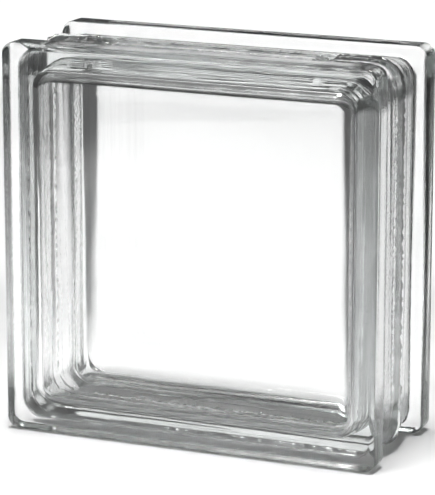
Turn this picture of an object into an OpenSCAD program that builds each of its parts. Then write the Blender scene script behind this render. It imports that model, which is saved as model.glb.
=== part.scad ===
// Hollow clear glass block for walls, pressed as two half shells that are
// fused rim to rim. It stands on the edges of its two flanges.
// X runs along the wall, Y through the wall and Z up. The origin is the
// middle of the base.

/* [Block] */
// Width and height of the square faces
face_size = 190; // [150:1:240]
// Thickness through the wall, over both faces
block_depth = 80; // [66:1:120]
// Radius of the four corners of each face
face_corner_r = 6; // [4:0.5:9]

/* [Flanges] */
// Thickness of the flange round each face
flange_t = 15; // [11:0.5:19]
// Rounding along both edges of a flange
flange_edge_r = 2.5; // [1:0.25:3.5]

/* [Mortar channel] */
// Depth of the channel below the flange edge, beside the flange
channel_d = 5.5; // [4:0.25:8]
// Depth of the channel below the flange edge, at the fused seam
seam_d = 2; // [1:0.25:3]
// Fillet between the channel and the flange
channel_fillet_r = 2.5; // [1:0.25:3]
// Radius of the corners of the channel at the seam
seam_corner_r = 12; // [10:0.5:16]

/* [Sealed cavity] */
// Thickness of each face pane
pane_t = 8; // [6:0.5:10]
// Wall of the shell at the fused seam
seam_wall = 8; // [5:0.25:10]
// How much the cavity narrows from the seam to the pane, on each side
cavity_draft = 3; // [1:0.25:5]
// Fillet between the pane and the walls, inside
pane_fillet_r = 7; // [3:0.5:9]
// Radius of the corners of the cavity, at the pane
cavity_corner_r = 10; // [10:0.5:18]

/* [Troughs across the top] */
// Distance from the middle of the block to the middle of each trough
trough_x = 56; // [40:1:58]
// Radius of the round section of a trough
trough_r = 7; // [5:0.5:9]
// Depth of the troughs below the flange edge
trough_d = 5; // [3.5:0.25:5.25]
// Depth of the flat between the troughs, below the flange edge
middle_d = 3.25; // [2.25:0.25:3.5]

/* [Hidden] */
$fn = 64;

half_size = face_size / 2;
half_depth = block_depth / 2;

// Each swept section turns its corners about a square of its own.
flange_core = half_size - face_corner_r;
band_core = half_size - seam_d - seam_corner_r;
cavity_core = half_size - seam_d - seam_wall - cavity_draft - cavity_corner_r;

// The channel floor, measured out from its core and back from the face.
floor_r = half_size - channel_d - band_core;
floor_y = flange_t + channel_fillet_r;

// The fillet inside touches the pane and the slanting wall of the cavity.
wall_slant = atan(cavity_draft / (half_depth - pane_t));
fillet_x = cavity_corner_r
    + pane_fillet_r * (tan(wall_slant) - 1 / cos(wall_slant));
fillet_y = pane_t + pane_fillet_r;

glass_tint = [0.86, 0.90, 0.89, 0.45];
cut = 1;

// Carries a section round a rounded square centred on the Y axis. In the
// section, x is the distance out from the core square and y the depth back
// from the face. The core itself is filled from y = from to y = to.
module round_square_sweep(core, from, to) {
    for (side = [0 : 3])
        rotate([0, 90 * side, 0]) {
            translate([core, 0, -core])
                linear_extrude(2 * core)
                    children();
            translate([core, 0, core])
                rotate([90, 0, 0])
                    mirror([0, 0, 1])
                        rotate_extrude(angle = 90)
                            children();
        }
    translate([-core, from, -core])
        cube([2 * core, to - from, 2 * core]);
}

module flange_section() {
    square([face_corner_r - flange_edge_r, flange_t]);
    translate([0, flange_edge_r])
        square([face_corner_r, flange_t - 2 * flange_edge_r]);
    for (y = [flange_edge_r, flange_t - flange_edge_r])
        translate([face_corner_r - flange_edge_r, y])
            circle(flange_edge_r);
}

// The wall between the flange and the seam, with the fillet at its foot.
module band_section() {
    polygon([
        [0, flange_t], [floor_r, flange_t], [floor_r, floor_y],
        [seam_corner_r, half_depth], [0, half_depth]
    ]);
    translate([floor_r, flange_t])
        difference() {
            square(channel_fillet_r);
            translate([channel_fillet_r, channel_fillet_r])
                circle(channel_fillet_r);
        }
}

module cavity_section() {
    polygon([
        [0, pane_t], [fillet_x, pane_t], [fillet_x, fillet_y],
        [fillet_x + pane_fillet_r * cos(wall_slant),
         fillet_y - pane_fillet_r * sin(wall_slant)],
        [cavity_corner_r + cavity_draft, half_depth],
        [cavity_corner_r + cavity_draft, half_depth + cut],
        [0, half_depth + cut]
    ]);
    translate([fillet_x, fillet_y])
        intersection() {
            circle(pane_fillet_r);
            translate([0, -pane_fillet_r])
                square(pane_fillet_r);
        }
}

// What is left out of the top of the band: two round troughs across it, and
// the low flat between them.
module top_troughs() {
    for (x = [-trough_x, trough_x])
        translate([x, floor_y, half_size - trough_d + trough_r])
            rotate([-90, 0, 0])
                cylinder(r = trough_r, h = half_depth + cut - floor_y);
    translate([-trough_x, floor_y, half_size - middle_d])
        cube([2 * trough_x, half_depth + cut - floor_y, middle_d + cut]);
}

// One pressed shell, with its face at y = 0 and its rim towards +Y.
module half_shell() {
    difference() {
        union() {
            round_square_sweep(flange_core, 0, flange_t)
                flange_section();
            round_square_sweep(band_core, flange_t, half_depth)
                band_section();
        }
        round_square_sweep(cavity_core, pane_t, half_depth + cut)
            cavity_section();
        top_troughs();
    }
}

module front_half() {
    color(glass_tint)
        translate([0, -half_depth, half_size])
            half_shell();
}

module back_half() {
    color(glass_tint)
        translate([0, half_depth, half_size])
            mirror([0, 1, 0])
                half_shell();
}

front_half();
back_half();
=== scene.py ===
import math

import bpy
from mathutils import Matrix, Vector


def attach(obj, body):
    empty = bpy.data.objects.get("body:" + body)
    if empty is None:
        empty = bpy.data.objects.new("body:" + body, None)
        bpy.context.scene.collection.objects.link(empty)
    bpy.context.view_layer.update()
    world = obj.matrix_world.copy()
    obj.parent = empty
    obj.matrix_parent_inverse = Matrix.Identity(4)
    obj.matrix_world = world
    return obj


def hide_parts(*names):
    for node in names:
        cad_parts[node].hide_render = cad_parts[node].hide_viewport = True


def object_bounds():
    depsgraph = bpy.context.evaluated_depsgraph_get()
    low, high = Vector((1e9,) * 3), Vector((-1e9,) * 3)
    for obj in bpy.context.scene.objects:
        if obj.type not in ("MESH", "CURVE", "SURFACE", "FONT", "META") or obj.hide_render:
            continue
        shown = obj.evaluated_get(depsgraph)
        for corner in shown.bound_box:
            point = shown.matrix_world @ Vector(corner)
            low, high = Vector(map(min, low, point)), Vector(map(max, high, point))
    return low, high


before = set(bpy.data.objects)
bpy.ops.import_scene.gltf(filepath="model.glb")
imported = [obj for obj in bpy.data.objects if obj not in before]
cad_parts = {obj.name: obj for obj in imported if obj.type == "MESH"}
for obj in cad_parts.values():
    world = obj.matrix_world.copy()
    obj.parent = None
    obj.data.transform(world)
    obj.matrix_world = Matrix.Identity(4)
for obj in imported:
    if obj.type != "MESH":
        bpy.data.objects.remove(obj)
cad_low, cad_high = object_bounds()

# --- Camera ------------------------------------------------------------------
# A long lens looks at the block from the right of its front face and a little
# above its top.

view_turn = math.radians(23.14)
view_dip = math.radians(13.82)
view_distance = 1.45
view_target = Vector((-0.0004, 0.0, 0.0902))
lens_mm = 219.96
film_mm = 36.0

camera_data = bpy.data.cameras.new("camera")
camera_data.lens = lens_mm
camera_data.sensor_width = film_mm
camera = bpy.data.objects.new("camera", camera_data)
bpy.context.scene.collection.objects.link(camera)
towards_camera = Vector((
    math.sin(view_turn) * math.cos(view_dip),
    -math.cos(view_turn) * math.cos(view_dip),
    math.sin(view_dip),
))
camera.location = view_target + view_distance * towards_camera
camera.rotation_euler = towards_camera.to_track_quat("Z", "Y").to_euler()
bpy.context.scene.camera = camera

# --- The glass block ---------------------------------------------------------
# Two shells of soda-lime glass, pressed hot in a mould and fused rim to rim,
# so that the block is one clear body round a sealed cavity. The fused rims
# leave a bead round the middle of the channel and another inside.

mm = 0.001
half_size = (cad_high.x - cad_low.x) / 2
half_depth = (cad_high.y - cad_low.y) / 2

face_corner_r = 6 * mm
flange_t = 15 * mm
flange_edge_r = 2.5 * mm
channel_d = 5.5 * mm
seam_d = 2 * mm
channel_fillet_r = 2.5 * mm
seam_corner_r = 12 * mm

pane_t = 8 * mm
seam_wall = 8 * mm
cavity_draft = 3 * mm
pane_fillet_r = 7 * mm
cavity_corner_r = 10 * mm

trough_x = 56 * mm
trough_r = 7 * mm
trough_d = 5 * mm
middle_d = 3.25 * mm
trough_lip_w = 1.5 * mm
trough_lip_d = 1 * mm

bead_height = 1.1 * mm
bead_width = 0.75 * mm


def row(reach, depth, core, wave, bead=0.0, band=0, grain=0, draw=0):
    """One point of a section: its reach from the block's axis, its depth and
    the half width of the square whose corners it turns about. The rest are the
    strength of the waves, the height of the bead, whether the point is on the
    channel's band, and how strong the grain and the drawn lines are on it."""
    return {
        "reach": reach, "depth": depth, "core": core, "wave": wave,
        "bead": bead, "band": band, "grain": grain, "draw": draw,
    }


def arc(centre, radius, start, end, steps):
    """Points on an arc of a section, from one angle to the other, in degrees."""
    points = []
    for step in range(steps + 1):
        angle = math.radians(start + (end - start) * step / steps)
        points.append((
            centre[0] + radius * math.cos(angle),
            centre[1] + radius * math.sin(angle),
        ))
    return points


def line(start, end, steps, crowd=1.0):
    """Points on a line, both ends included, crowded towards its end."""
    points = []
    for step in range(steps + 1):
        share = 1 - (1 - step / steps) ** crowd
        points.append((
            start[0] + (end[0] - start[0]) * share,
            start[1] + (end[1] - start[1]) * share,
        ))
    return points


def bead_at(depth):
    """The bead's height, which falls off to both sides of the seam."""
    return bead_height * math.exp(-(depth / bead_width) ** 2)


# How many steps each stretch of the two sections is cut into, and how closely
# the steps crowd towards the seam.
face_steps = 6
edge_steps = 7
band_steps = 21
pane_steps = 8
fillet_steps = 10
wall_steps = 18
seam_crowd = 1.6

# How much of the waves each surface takes. The face and the pane were pressed
# against polished plates, and the walls cooled free.
face_wave = 0.02
flange_wave = 0.05
band_wave = 0.12
pane_wave = 0.05
fillet_wave = 0.12
wall_wave = 0.2

# The outside of the front shell, from the middle of its face to the seam. The
# grain begins just behind the polished face.
face_y = -half_depth
channel_y = face_y + flange_t
floor_y = channel_y + channel_fillet_r
floor_reach = half_size - channel_d
edge_reach = half_size - flange_edge_r
flange_core = half_size - face_corner_r
band_core = half_size - seam_d - seam_corner_r
grain_fade = 2 * mm
outside = []
for reach, depth in line((0, face_y), (flange_core, face_y), face_steps):
    outside.append(row(reach, depth, reach, face_wave))
flange = arc((edge_reach, face_y + flange_edge_r), flange_edge_r, -90, 0, edge_steps)
flange += [(half_size, face_y + flange_t * share) for share in (0.3, 0.5, 0.7)]
flange += arc((edge_reach, channel_y - flange_edge_r), flange_edge_r, 0, 90, edge_steps)
for reach, depth in flange:
    grain = min(max((depth - face_y - flange_edge_r) / grain_fade, 0), 1)
    outside.append(row(reach, depth, flange_core, flange_wave, grain=grain, draw=grain))
for reach, depth in arc(
    (floor_reach + channel_fillet_r, floor_y), channel_fillet_r, -90, -180, edge_steps
):
    outside.append(row(reach, depth, band_core, flange_wave, grain=1, draw=1))
for reach, depth in line(
    (floor_reach, floor_y), (half_size - seam_d, 0), band_steps, seam_crowd
)[1:]:
    outside.append(row(
        reach, depth, band_core, band_wave, bead_at(depth), band=1, grain=1, draw=1
    ))

# The cavity of the front shell, from the middle of the pane to the seam.
pane_y = face_y + pane_t
pane_reach = half_size - seam_d - seam_wall - cavity_draft
cavity_core = pane_reach - cavity_corner_r
slant = math.atan2(cavity_draft, -pane_y)
fillet_reach = pane_reach + pane_fillet_r * (math.tan(slant) - 1 / math.cos(slant))
cavity = []
for reach, depth in line((0, pane_y), (cavity_core, pane_y), pane_steps):
    cavity.append(row(reach, depth, reach, pane_wave))
fillet = arc(
    (fillet_reach, pane_y + pane_fillet_r), pane_fillet_r,
    -90, -math.degrees(slant), fillet_steps,
)
for reach, depth in fillet:
    cavity.append(row(reach, depth, cavity_core, fillet_wave, draw=1))
for reach, depth in line(
    fillet[-1], (pane_reach + cavity_draft, 0), wall_steps, seam_crowd
)[1:]:
    cavity.append(row(reach, depth, cavity_core, wall_wave, -bead_at(depth), draw=1))


def whole(half):
    """Adds the back shell's half of a section, which mirrors the front's."""
    return half + [{**point, "depth": -point["depth"]} for point in reversed(half[:-1])]


section = bpy.data.meshes.new("section")
rows = whole(outside) + list(reversed(whole(cavity)))
last_outside = len(whole(outside)) - 1
section.from_pydata(
    [(point["reach"], point["depth"], 0) for point in rows],
    [(start, start + 1) for start in range(len(rows) - 1) if start != last_outside],
    [],
)
for name in rows[0]:
    layer = section.attributes.new(name, "FLOAT", "POINT")
    layer.data.foreach_set("value", [point[name] for point in rows])

# The tree that presses the block. One helper adds a node with its inputs, and
# the others stand for the commonest nodes.
tree = bpy.data.node_groups.new("pressed_block", "GeometryNodeTree")


def add(kind, inputs=None, **settings):
    made = tree.nodes.new(kind)
    for name, value in settings.items():
        setattr(made, name, value)
    for key, value in (inputs or {}).items():
        socket = made.inputs[key]
        if isinstance(value, bpy.types.NodeSocket):
            tree.links.new(value, socket)
        else:
            socket.default_value = value
    return made


def maths(operation, first, second=0.0, third=0.0):
    return add(
        "ShaderNodeMath", {0: first, 1: second, 2: third}, operation=operation
    ).outputs[0]


def vectors(operation, first, second=(0, 0, 0)):
    return add(
        "ShaderNodeVectorMath", {0: first, 1: second}, operation=operation
    ).outputs[0]


def scaled(vector, factor):
    return add(
        "ShaderNodeVectorMath", {0: vector, "Scale": factor}, operation="SCALE"
    ).outputs[0]


def joined(x, y, z=0.0):
    return add("ShaderNodeCombineXYZ", {0: x, 1: y, 2: z}).outputs[0]


def parted(vector):
    return add("ShaderNodeSeparateXYZ", {0: vector}).outputs


def position():
    return add("GeometryNodeInputPosition").outputs[0]


def named(name, kind="FLOAT"):
    return add("GeometryNodeInputNamedAttribute", {"Name": name}, data_type=kind).outputs[0]


def tree_input(name, kind, value=None):
    socket = tree.interface.new_socket(name, in_out="INPUT", socket_type=kind)
    if value is not None:
        socket.default_value = value
    return socket


tree_input("Section", "NodeSocketGeometry")
sizes = {
    "Half size": half_size,
    "Half depth": half_depth,
    "Ring half size": half_size - seam_d,
    "Ring corner radius": seam_corner_r,
    "Top edge drop": 0.3 * mm,
    "Wave scale": 1.4 * mm,
    "Wave length": 22 * mm,
    "Trough place": trough_x,
    "Trough crowding": 0.62,
    "Trough crowding width": 9 * mm,
    "Bead length": 2.5 * mm,
    "Bubble size": 0.45 * mm,
    "Bubble reach": half_size - 7.3 * mm,
}
for name, size in sizes.items():
    tree_input(name, "NodeSocketFloat", size)
tree_input("Ring points", "NodeSocketInt", 520)
tree_input("Ring corner points", "NodeSocketInt", 24)
tree_input("Bubbles", "NodeSocketInt", 150)
tree_input("Seed", "NodeSocketFloat", 4.0)
glass_input = tree_input("Glass", "NodeSocketMaterial")
tree.interface.new_socket("Geometry", in_out="OUTPUT", socket_type="NodeSocketGeometry")
given = add("NodeGroupInput").outputs

# The ring: a rounded square, on which each point knows its outward direction
# and its place on the square inside.
ring_width = maths("MULTIPLY", given["Ring half size"], 2.0)
ring = add("GeometryNodeCurvePrimitiveQuadrilateral", {
    "Width": ring_width, "Height": ring_width,
})
ring = add("GeometryNodeFilletCurve", {
    "Curve": ring.outputs[0], "Count": given["Ring corner points"],
    "Radius": given["Ring corner radius"],
}, mode="POLY")
ring = add("GeometryNodeResampleCurve", {
    "Curve": ring.outputs[0], "Count": given["Ring points"],
})
ring_core = maths("SUBTRACT", given["Ring half size"], given["Ring corner radius"])
place = parted(position())


def drawn_in(centre):
    """How far a point of the ring moves towards a trough, to crowd round it."""
    away = maths("SUBTRACT", place[0], centre)
    share = maths("DIVIDE", away, given["Trough crowding width"])
    fall = maths("EXPONENT", maths("MULTIPLY", maths("MULTIPLY", share, share), -1.0))
    return maths("MULTIPLY", maths("MULTIPLY", away, fall), given["Trough crowding"])


crowded = maths(
    "ADD", drawn_in(given["Trough place"]),
    drawn_in(maths("MULTIPLY", given["Trough place"], -1.0)),
)
ring = add("GeometryNodeSetPosition", {
    "Geometry": ring.outputs[0],
    "Selection": add("FunctionNodeCompare", {
        0: place[1], 1: ring_core,
    }, operation="GREATER_THAN").outputs[0],
    "Offset": joined(maths("MULTIPLY", crowded, -1.0), 0.0),
})
ring_high = joined(ring_core, ring_core)
place = position()
inner = vectors("MINIMUM", vectors("MAXIMUM", place, scaled(ring_high, -1.0)), ring_high)
ring = add("GeometryNodeStoreNamedAttribute", {
    "Geometry": ring.outputs[0], "Name": "outward",
    "Value": vectors("NORMALIZE", vectors("SUBTRACT", place, inner)),
}, data_type="FLOAT_VECTOR")
ring = add("GeometryNodeStoreNamedAttribute", {
    "Geometry": ring.outputs[0], "Name": "square",
    "Value": scaled(inner, maths("DIVIDE", 1.0, ring_core)),
}, data_type="FLOAT_VECTOR")

# The section is carried round the ring, and each of its points is put at its
# own reach, about its own square.
profile = add("GeometryNodeMeshToCurve", {"Mesh": given["Section"]})
body = add("GeometryNodeCurveToMesh", {
    "Curve": ring.outputs[0], "Profile Curve": profile.outputs[0],
})
swept = parted(vectors(
    "ADD", scaled(named("square", "FLOAT_VECTOR"), named("core")),
    scaled(
        named("outward", "FLOAT_VECTOR"),
        maths("SUBTRACT", named("reach"), named("core")),
    ),
))
body = add("GeometryNodeSetPosition", {
    "Geometry": body.outputs[0],
    "Position": joined(
        swept[0], named("depth"), maths("ADD", swept[1], given["Half size"])
    ),
})

# The troughs across the top of the band. The curve gives how far the band lies
# below the block's top, from the middle of the block to its side.
curve_full_d = 10 * mm
trough_steps = 6
place = parted(position())
drop = add("ShaderNodeFloatCurve", {
    "Value": maths("DIVIDE", maths("ABSOLUTE", place[0]), given["Half size"]),
})
curve = drop.mapping.curves[0]
curve.points[0].location = (0, middle_d / curve_full_d)
curve.points[1].location = (1, 0)
trough_rim = math.sqrt(trough_r ** 2 - (trough_r - (trough_d - seam_d)) ** 2)
for step in range(-trough_steps, trough_steps + 1):
    across = step / trough_steps * trough_rim
    sunk = trough_d - trough_r + math.sqrt(trough_r ** 2 - across ** 2)
    if across < 0:
        sunk = max(sunk, middle_d)
    curve.points.new((trough_x + across) / half_size, sunk / curve_full_d)
trough_end = trough_x + trough_rim + trough_lip_w
curve.points.new(trough_end / half_size, trough_lip_d / curve_full_d)
drop.mapping.update()
limit = maths(
    "SUBTRACT", maths("MULTIPLY", given["Half size"], 2.0),
    maths("MULTIPLY", drop.outputs[0], curve_full_d),
)
body = add("GeometryNodeSetPosition", {
    "Geometry": body.outputs[0],
    "Selection": add("FunctionNodeCompare", {
        0: named("band"), 1: 0.5,
    }, operation="GREATER_THAN").outputs[0],
    "Position": joined(
        place[0], place[1],
        maths("SMOOTH_MIN", place[2], limit, given["Top edge drop"]),
    ),
})


def noise(size, detail):
    """Noise over the block, with lumps of about the given size."""
    return add("ShaderNodeTexNoise", {
        "Vector": position(), "W": given["Seed"],
        "Scale": maths("DIVIDE", 1.0, size), "Detail": detail,
    }, noise_dimensions="4D").outputs[0]


# The bead, lumpy along its length and nearly gone in places, and the slow
# waves of the pressed surface.
lump_contrast = 5.0
lump_level = -1.9
lump_least = 0.1
lumpy = maths(
    "MAXIMUM",
    maths("MULTIPLY_ADD", noise(given["Bead length"], 2.0), lump_contrast, lump_level),
    lump_least,
)
outward = parted(named("outward", "FLOAT_VECTOR"))
bead = scaled(joined(outward[0], 0.0, outward[1]), maths("MULTIPLY", lumpy, named("bead")))
wave = maths(
    "MULTIPLY",
    maths("MULTIPLY", maths("SUBTRACT", noise(given["Wave length"], 1.0), 0.5), 2.0),
    maths("MULTIPLY", named("wave"), given["Wave scale"]),
)
body = add("GeometryNodeMergeByDistance", {
    "Geometry": body.outputs[0], "Distance": 0.001 * mm,
})
body = add("GeometryNodeSetPosition", {
    "Geometry": body.outputs[0],
    "Offset": vectors(
        "ADD", bead, scaled(add("GeometryNodeInputNormal").outputs[0], wave)
    ),
})

# The waves stay inside the block's outer faces.
box_high = joined(
    given["Half size"], given["Half depth"], maths("MULTIPLY", given["Half size"], 2.0)
)
box_low = vectors("MULTIPLY", box_high, (-1, -1, 0))
body = add("GeometryNodeSetPosition", {
    "Geometry": body.outputs[0],
    "Position": vectors("MINIMUM", vectors("MAXIMUM", position(), box_low), box_high),
})

# The grain is strongest on the upright sides of the block and faint on its
# top and bottom.
top_grain = 0.25
side_share = maths("ABSOLUTE", parted(named("outward", "FLOAT_VECTOR"))[0])
body = add("GeometryNodeStoreNamedAttribute", {
    "Geometry": body.outputs[0], "Name": "grain",
    "Value": maths(
        "MULTIPLY", named("grain"),
        maths("MULTIPLY_ADD", side_share, 1 - top_grain, top_grain),
    ),
}, data_type="FLOAT")

# Seed bubbles, caught in the glass where the two rims were fused: small closed
# hollows of uneven shape, their faces turned inwards.
bubble_stray = 1.1 * mm
bubble_stray_y = 1.3 * mm
bubble_least = (0.5, 0.5, 0.5)
bubble_most = (1.1, 1.0, 1.1)


def roll(most, seed):
    """A random value for each bubble, up to the given size either way."""
    return add(
        "FunctionNodeRandomValue", {"Min": -most, "Max": most, "Seed": seed},
        data_type="FLOAT",
    ).outputs["Value"]


bubble_line = add("GeometryNodeCurveToPoints", {
    "Curve": ring.outputs[0], "Count": given["Bubbles"],
})
on_line = parted(vectors(
    "ADD", scaled(named("square", "FLOAT_VECTOR"), ring_core),
    scaled(
        named("outward", "FLOAT_VECTOR"),
        maths("SUBTRACT", given["Bubble reach"], ring_core),
    ),
))
scatter = add("GeometryNodeSetPosition", {
    "Geometry": bubble_line.outputs[0],
    "Position": joined(
        maths("ADD", on_line[0], roll(bubble_stray, 1)),
        roll(bubble_stray_y, 3),
        maths(
            "ADD", maths("ADD", on_line[1], given["Half size"]), roll(bubble_stray, 2)
        ),
    ),
})
hollow = add("GeometryNodeMeshIcoSphere", {"Radius": 1.0, "Subdivisions": 2})
hollow = add("GeometryNodeFlipFaces", {"Mesh": hollow.outputs[0]})
bubble_shape = add("FunctionNodeRandomValue", {
    0: bubble_least, 1: bubble_most, "Seed": 4,
}, data_type="FLOAT_VECTOR").outputs[0]
bubbles = add("GeometryNodeInstanceOnPoints", {
    "Points": scatter.outputs[0], "Instance": hollow.outputs[0],
    "Scale": scaled(bubble_shape, given["Bubble size"]),
})
together = add("GeometryNodeJoinGeometry")
tree.links.new(bubbles.outputs[0], together.inputs[0])
tree.links.new(body.outputs[0], together.inputs[0])
body = add("GeometryNodeSetShadeSmooth", {"Geometry": together.outputs[0]})
body = add("GeometryNodeRealizeInstances", {"Geometry": body.outputs[0]})
body = add("GeometryNodeSetMaterial", {
    "Geometry": body.outputs[0], "Material": given["Glass"],
})
add("NodeGroupOutput", {0: body.outputs[0]})

# Clear glass with the faint green of its iron, which shows only where one
# looks through a long way of it.
glass = bpy.data.materials.new("clear_pressed_glass")
glass.use_nodes = True
shader = glass.node_tree.nodes["Principled BSDF"]
shader.inputs["Base Color"].default_value = (1, 1, 1, 1)
shader.inputs["Roughness"].default_value = 0.0
shader.inputs["IOR"].default_value = 1.52
shader.inputs["Transmission Weight"].default_value = 1.0


def glass_node(kind, inputs=None, **settings):
    made = glass.node_tree.nodes.new(kind)
    for name, value in settings.items():
        setattr(made, name, value)
    for key, value in (inputs or {}).items():
        if isinstance(value, bpy.types.NodeSocket):
            glass.node_tree.links.new(value, made.inputs[key])
        else:
            made.inputs[key].default_value = value
    return made


def glass_maths(operation, first, second=0.0):
    return glass_node("ShaderNodeMath", {0: first, 1: second}, operation=operation).outputs[0]


def glass_layer(name):
    return glass_node("ShaderNodeAttribute", attribute_name=name).outputs["Fac"]


# Drawn lines, left by the plunger as it slid along the walls: long folds that
# follow the section and change slowly along the block.
fold_scale = 130
fold_change = 5
fold_depth = 0.9 * mm
glass_place = glass_node("ShaderNodeTexCoord").outputs["Object"]
place_parts = glass_node("ShaderNodeSeparateXYZ", {0: glass_place}).outputs
along = glass_maths("ADD", place_parts[0], place_parts[2])
folds_place = glass_node("ShaderNodeCombineXYZ", {
    0: glass_maths("MULTIPLY", glass_layer("reach"), fold_scale),
    1: glass_maths("MULTIPLY", place_parts[1], fold_scale),
    2: glass_maths("MULTIPLY", along, fold_change),
})
folds = glass_node("ShaderNodeTexNoise", {
    "Vector": folds_place.outputs[0], "Scale": 1.0, "Detail": 0.0,
}).outputs[0]
creases = glass_maths("ABSOLUTE", glass_maths("SUBTRACT", folds, 0.5))
fold_bump = glass_node("ShaderNodeBump", {
    "Distance": fold_depth,
    "Height": glass_maths("MULTIPLY", creases, glass_layer("draw")),
})

# The sides of the flanges and the channel keep the fine grain of the mould.
grain_scale = 900
grain_depth = 0.2 * mm
grains = glass_node("ShaderNodeTexNoise", {
    "Vector": glass_place, "Scale": grain_scale, "Detail": 2.0,
}).outputs[0]
grain_bump = glass_node("ShaderNodeBump", {
    "Distance": grain_depth,
    "Height": glass_maths("MULTIPLY", grains, glass_layer("grain")),
    "Normal": fold_bump.outputs[0],
})
glass.node_tree.links.new(grain_bump.outputs[0], shader.inputs["Normal"])

glass_depth = glass_node("ShaderNodeVolumeAbsorption", {
    "Color": (0.765, 0.795, 0.785, 1), "Density": 12.0,
})
glass.node_tree.links.new(
    glass_depth.outputs[0], glass.node_tree.nodes["Material Output"].inputs["Volume"]
)

# The tree is run once, and the plain mesh that comes out is the block. It
# keeps only the layers that the glass reads.
maker = bpy.data.objects.new("maker", section)
bpy.context.scene.collection.objects.link(maker)
modifier = maker.modifiers.new("pressing", "NODES")
modifier.node_group = tree
modifier[glass_input.identifier] = glass
depsgraph = bpy.context.evaluated_depsgraph_get()
block_mesh = bpy.data.meshes.new_from_object(maker.evaluated_get(depsgraph))
bpy.data.objects.remove(maker)
block_mesh.name = "glass_block"
for name in ("depth", "core", "bead", "wave", "band", "outward", "square"):
    block_mesh.attributes.remove(block_mesh.attributes[name])
block = bpy.data.objects.new("glass_block", block_mesh)
bpy.context.scene.collection.objects.link(block)

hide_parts("front_half", "back_half")
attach(block, "root")

# --- Floor and light ---------------------------------------------------------
# A plain pale floor in a dim room. Soft boxes light the floor behind the block
# and before it and leave it dim on both sides, so that the clear glass shows
# bright and dark bands, and two more light the block itself.

floor_half = 8.0
floor_gap = 0.2 * mm
floor_shade = 0.85
floor_mesh = bpy.data.meshes.new("floor")
floor_mesh.from_pydata(
    [
        (-floor_half, -floor_half, 0), (floor_half, -floor_half, 0),
        (floor_half, floor_half, 0), (-floor_half, floor_half, 0),
    ],
    [],
    [(0, 1, 2, 3)],
)
floor = bpy.data.objects.new("floor", floor_mesh)
floor.location.z = cad_low.z - floor_gap
bpy.context.scene.collection.objects.link(floor)
paint = bpy.data.materials.new("floor_paint")
paint.use_nodes = True
paint_shader = paint.node_tree.nodes["Principled BSDF"]
paint_shader.inputs["Base Color"].default_value = (floor_shade, floor_shade, floor_shade, 1)
paint_shader.inputs["Roughness"].default_value = 0.9
paint_shader.inputs["Specular IOR Level"].default_value = 0.0
floor_mesh.materials.append(paint)


def soft_box(name, place, aim, width, length, power, spread):
    """A rectangular soft light that camera rays pass by."""
    data = bpy.data.lights.new(name, "AREA")
    data.shape = "RECTANGLE"
    data.size = width
    data.size_y = length
    data.energy = power
    data.spread = math.radians(spread)
    light = bpy.data.objects.new(name, data)
    light.location = place
    light.rotation_euler = (Vector(place) - Vector(aim)).to_track_quat("Z", "Y").to_euler()
    light.visible_camera = False
    bpy.context.scene.collection.objects.link(light)
    return light


lane_along = Vector((-math.sin(view_turn), math.cos(view_turn), 0))
lane_across = Vector((math.cos(view_turn), math.sin(view_turn), 0))
pool_height = Vector((0, 0, 0.45))
pool_spread = 22


def pool(name, along, across, width, length, brightness):
    """A soft box straight above a piece of the floor, turned with the view."""
    middle = lane_along * along + lane_across * across
    power = brightness * math.pi / floor_shade * width * length
    light = soft_box(name, middle + pool_height, middle, width, length, power, pool_spread)
    light.rotation_euler.z = view_turn


pool("near_light", 0.02, 0.0, 0.27, 0.54, 1.04)
pool("middle_light", 0.595, 0.0, 0.37, 0.61, 1.0)
pool("far_light", 1.60, 0.0, 0.50, 1.40, 1.0)
pool("front_light", -0.19, -0.39, 0.46, 0.50, 1.8)
soft_box("block_light", (-0.2, -0.4, 1.0), (0, 0, 0), 0.3, 0.3, 0.12, 30)
soft_box("side_light", (1.5, 1.5, 0.8), (0, 0, 0.1), 1.6, 1.2, 0.22, 180)

# The room: dim all round, and lighter towards the ceiling.
wall_shade = 0.05
ceiling_shade = 0.35
ceiling_edge = 0.72
world = bpy.data.worlds.new("studio")
bpy.context.scene.world = world
world.use_nodes = True
room_nodes = world.node_tree.nodes
room_links = world.node_tree.links
direction = room_nodes.new("ShaderNodeTexCoord").outputs["Generated"]
height = room_nodes.new("ShaderNodeSeparateXYZ")
room_links.new(direction, height.inputs[0])
shades = room_nodes.new("ShaderNodeValToRGB")
room_links.new(height.outputs[2], shades.inputs[0])
ramp = shades.color_ramp
ramp.elements[0].position = ceiling_edge
ramp.elements[0].color = (wall_shade, wall_shade, wall_shade, 1)
ramp.elements[1].position = 1.0
ramp.elements[1].color = (ceiling_shade, ceiling_shade, ceiling_shade, 1)
room_links.new(shades.outputs[0], room_nodes["Background"].inputs["Color"])
room_nodes["Background"].inputs["Strength"].default_value = 1.0

scene = bpy.context.scene
scene.view_settings.view_transform = "Standard"
scene.cycles.max_bounces = 32
scene.cycles.transmission_bounces = 32
scene.cycles.glossy_bounces = 12
scene.cycles.caustics_refractive = True
scene.cycles.caustics_reflective = True
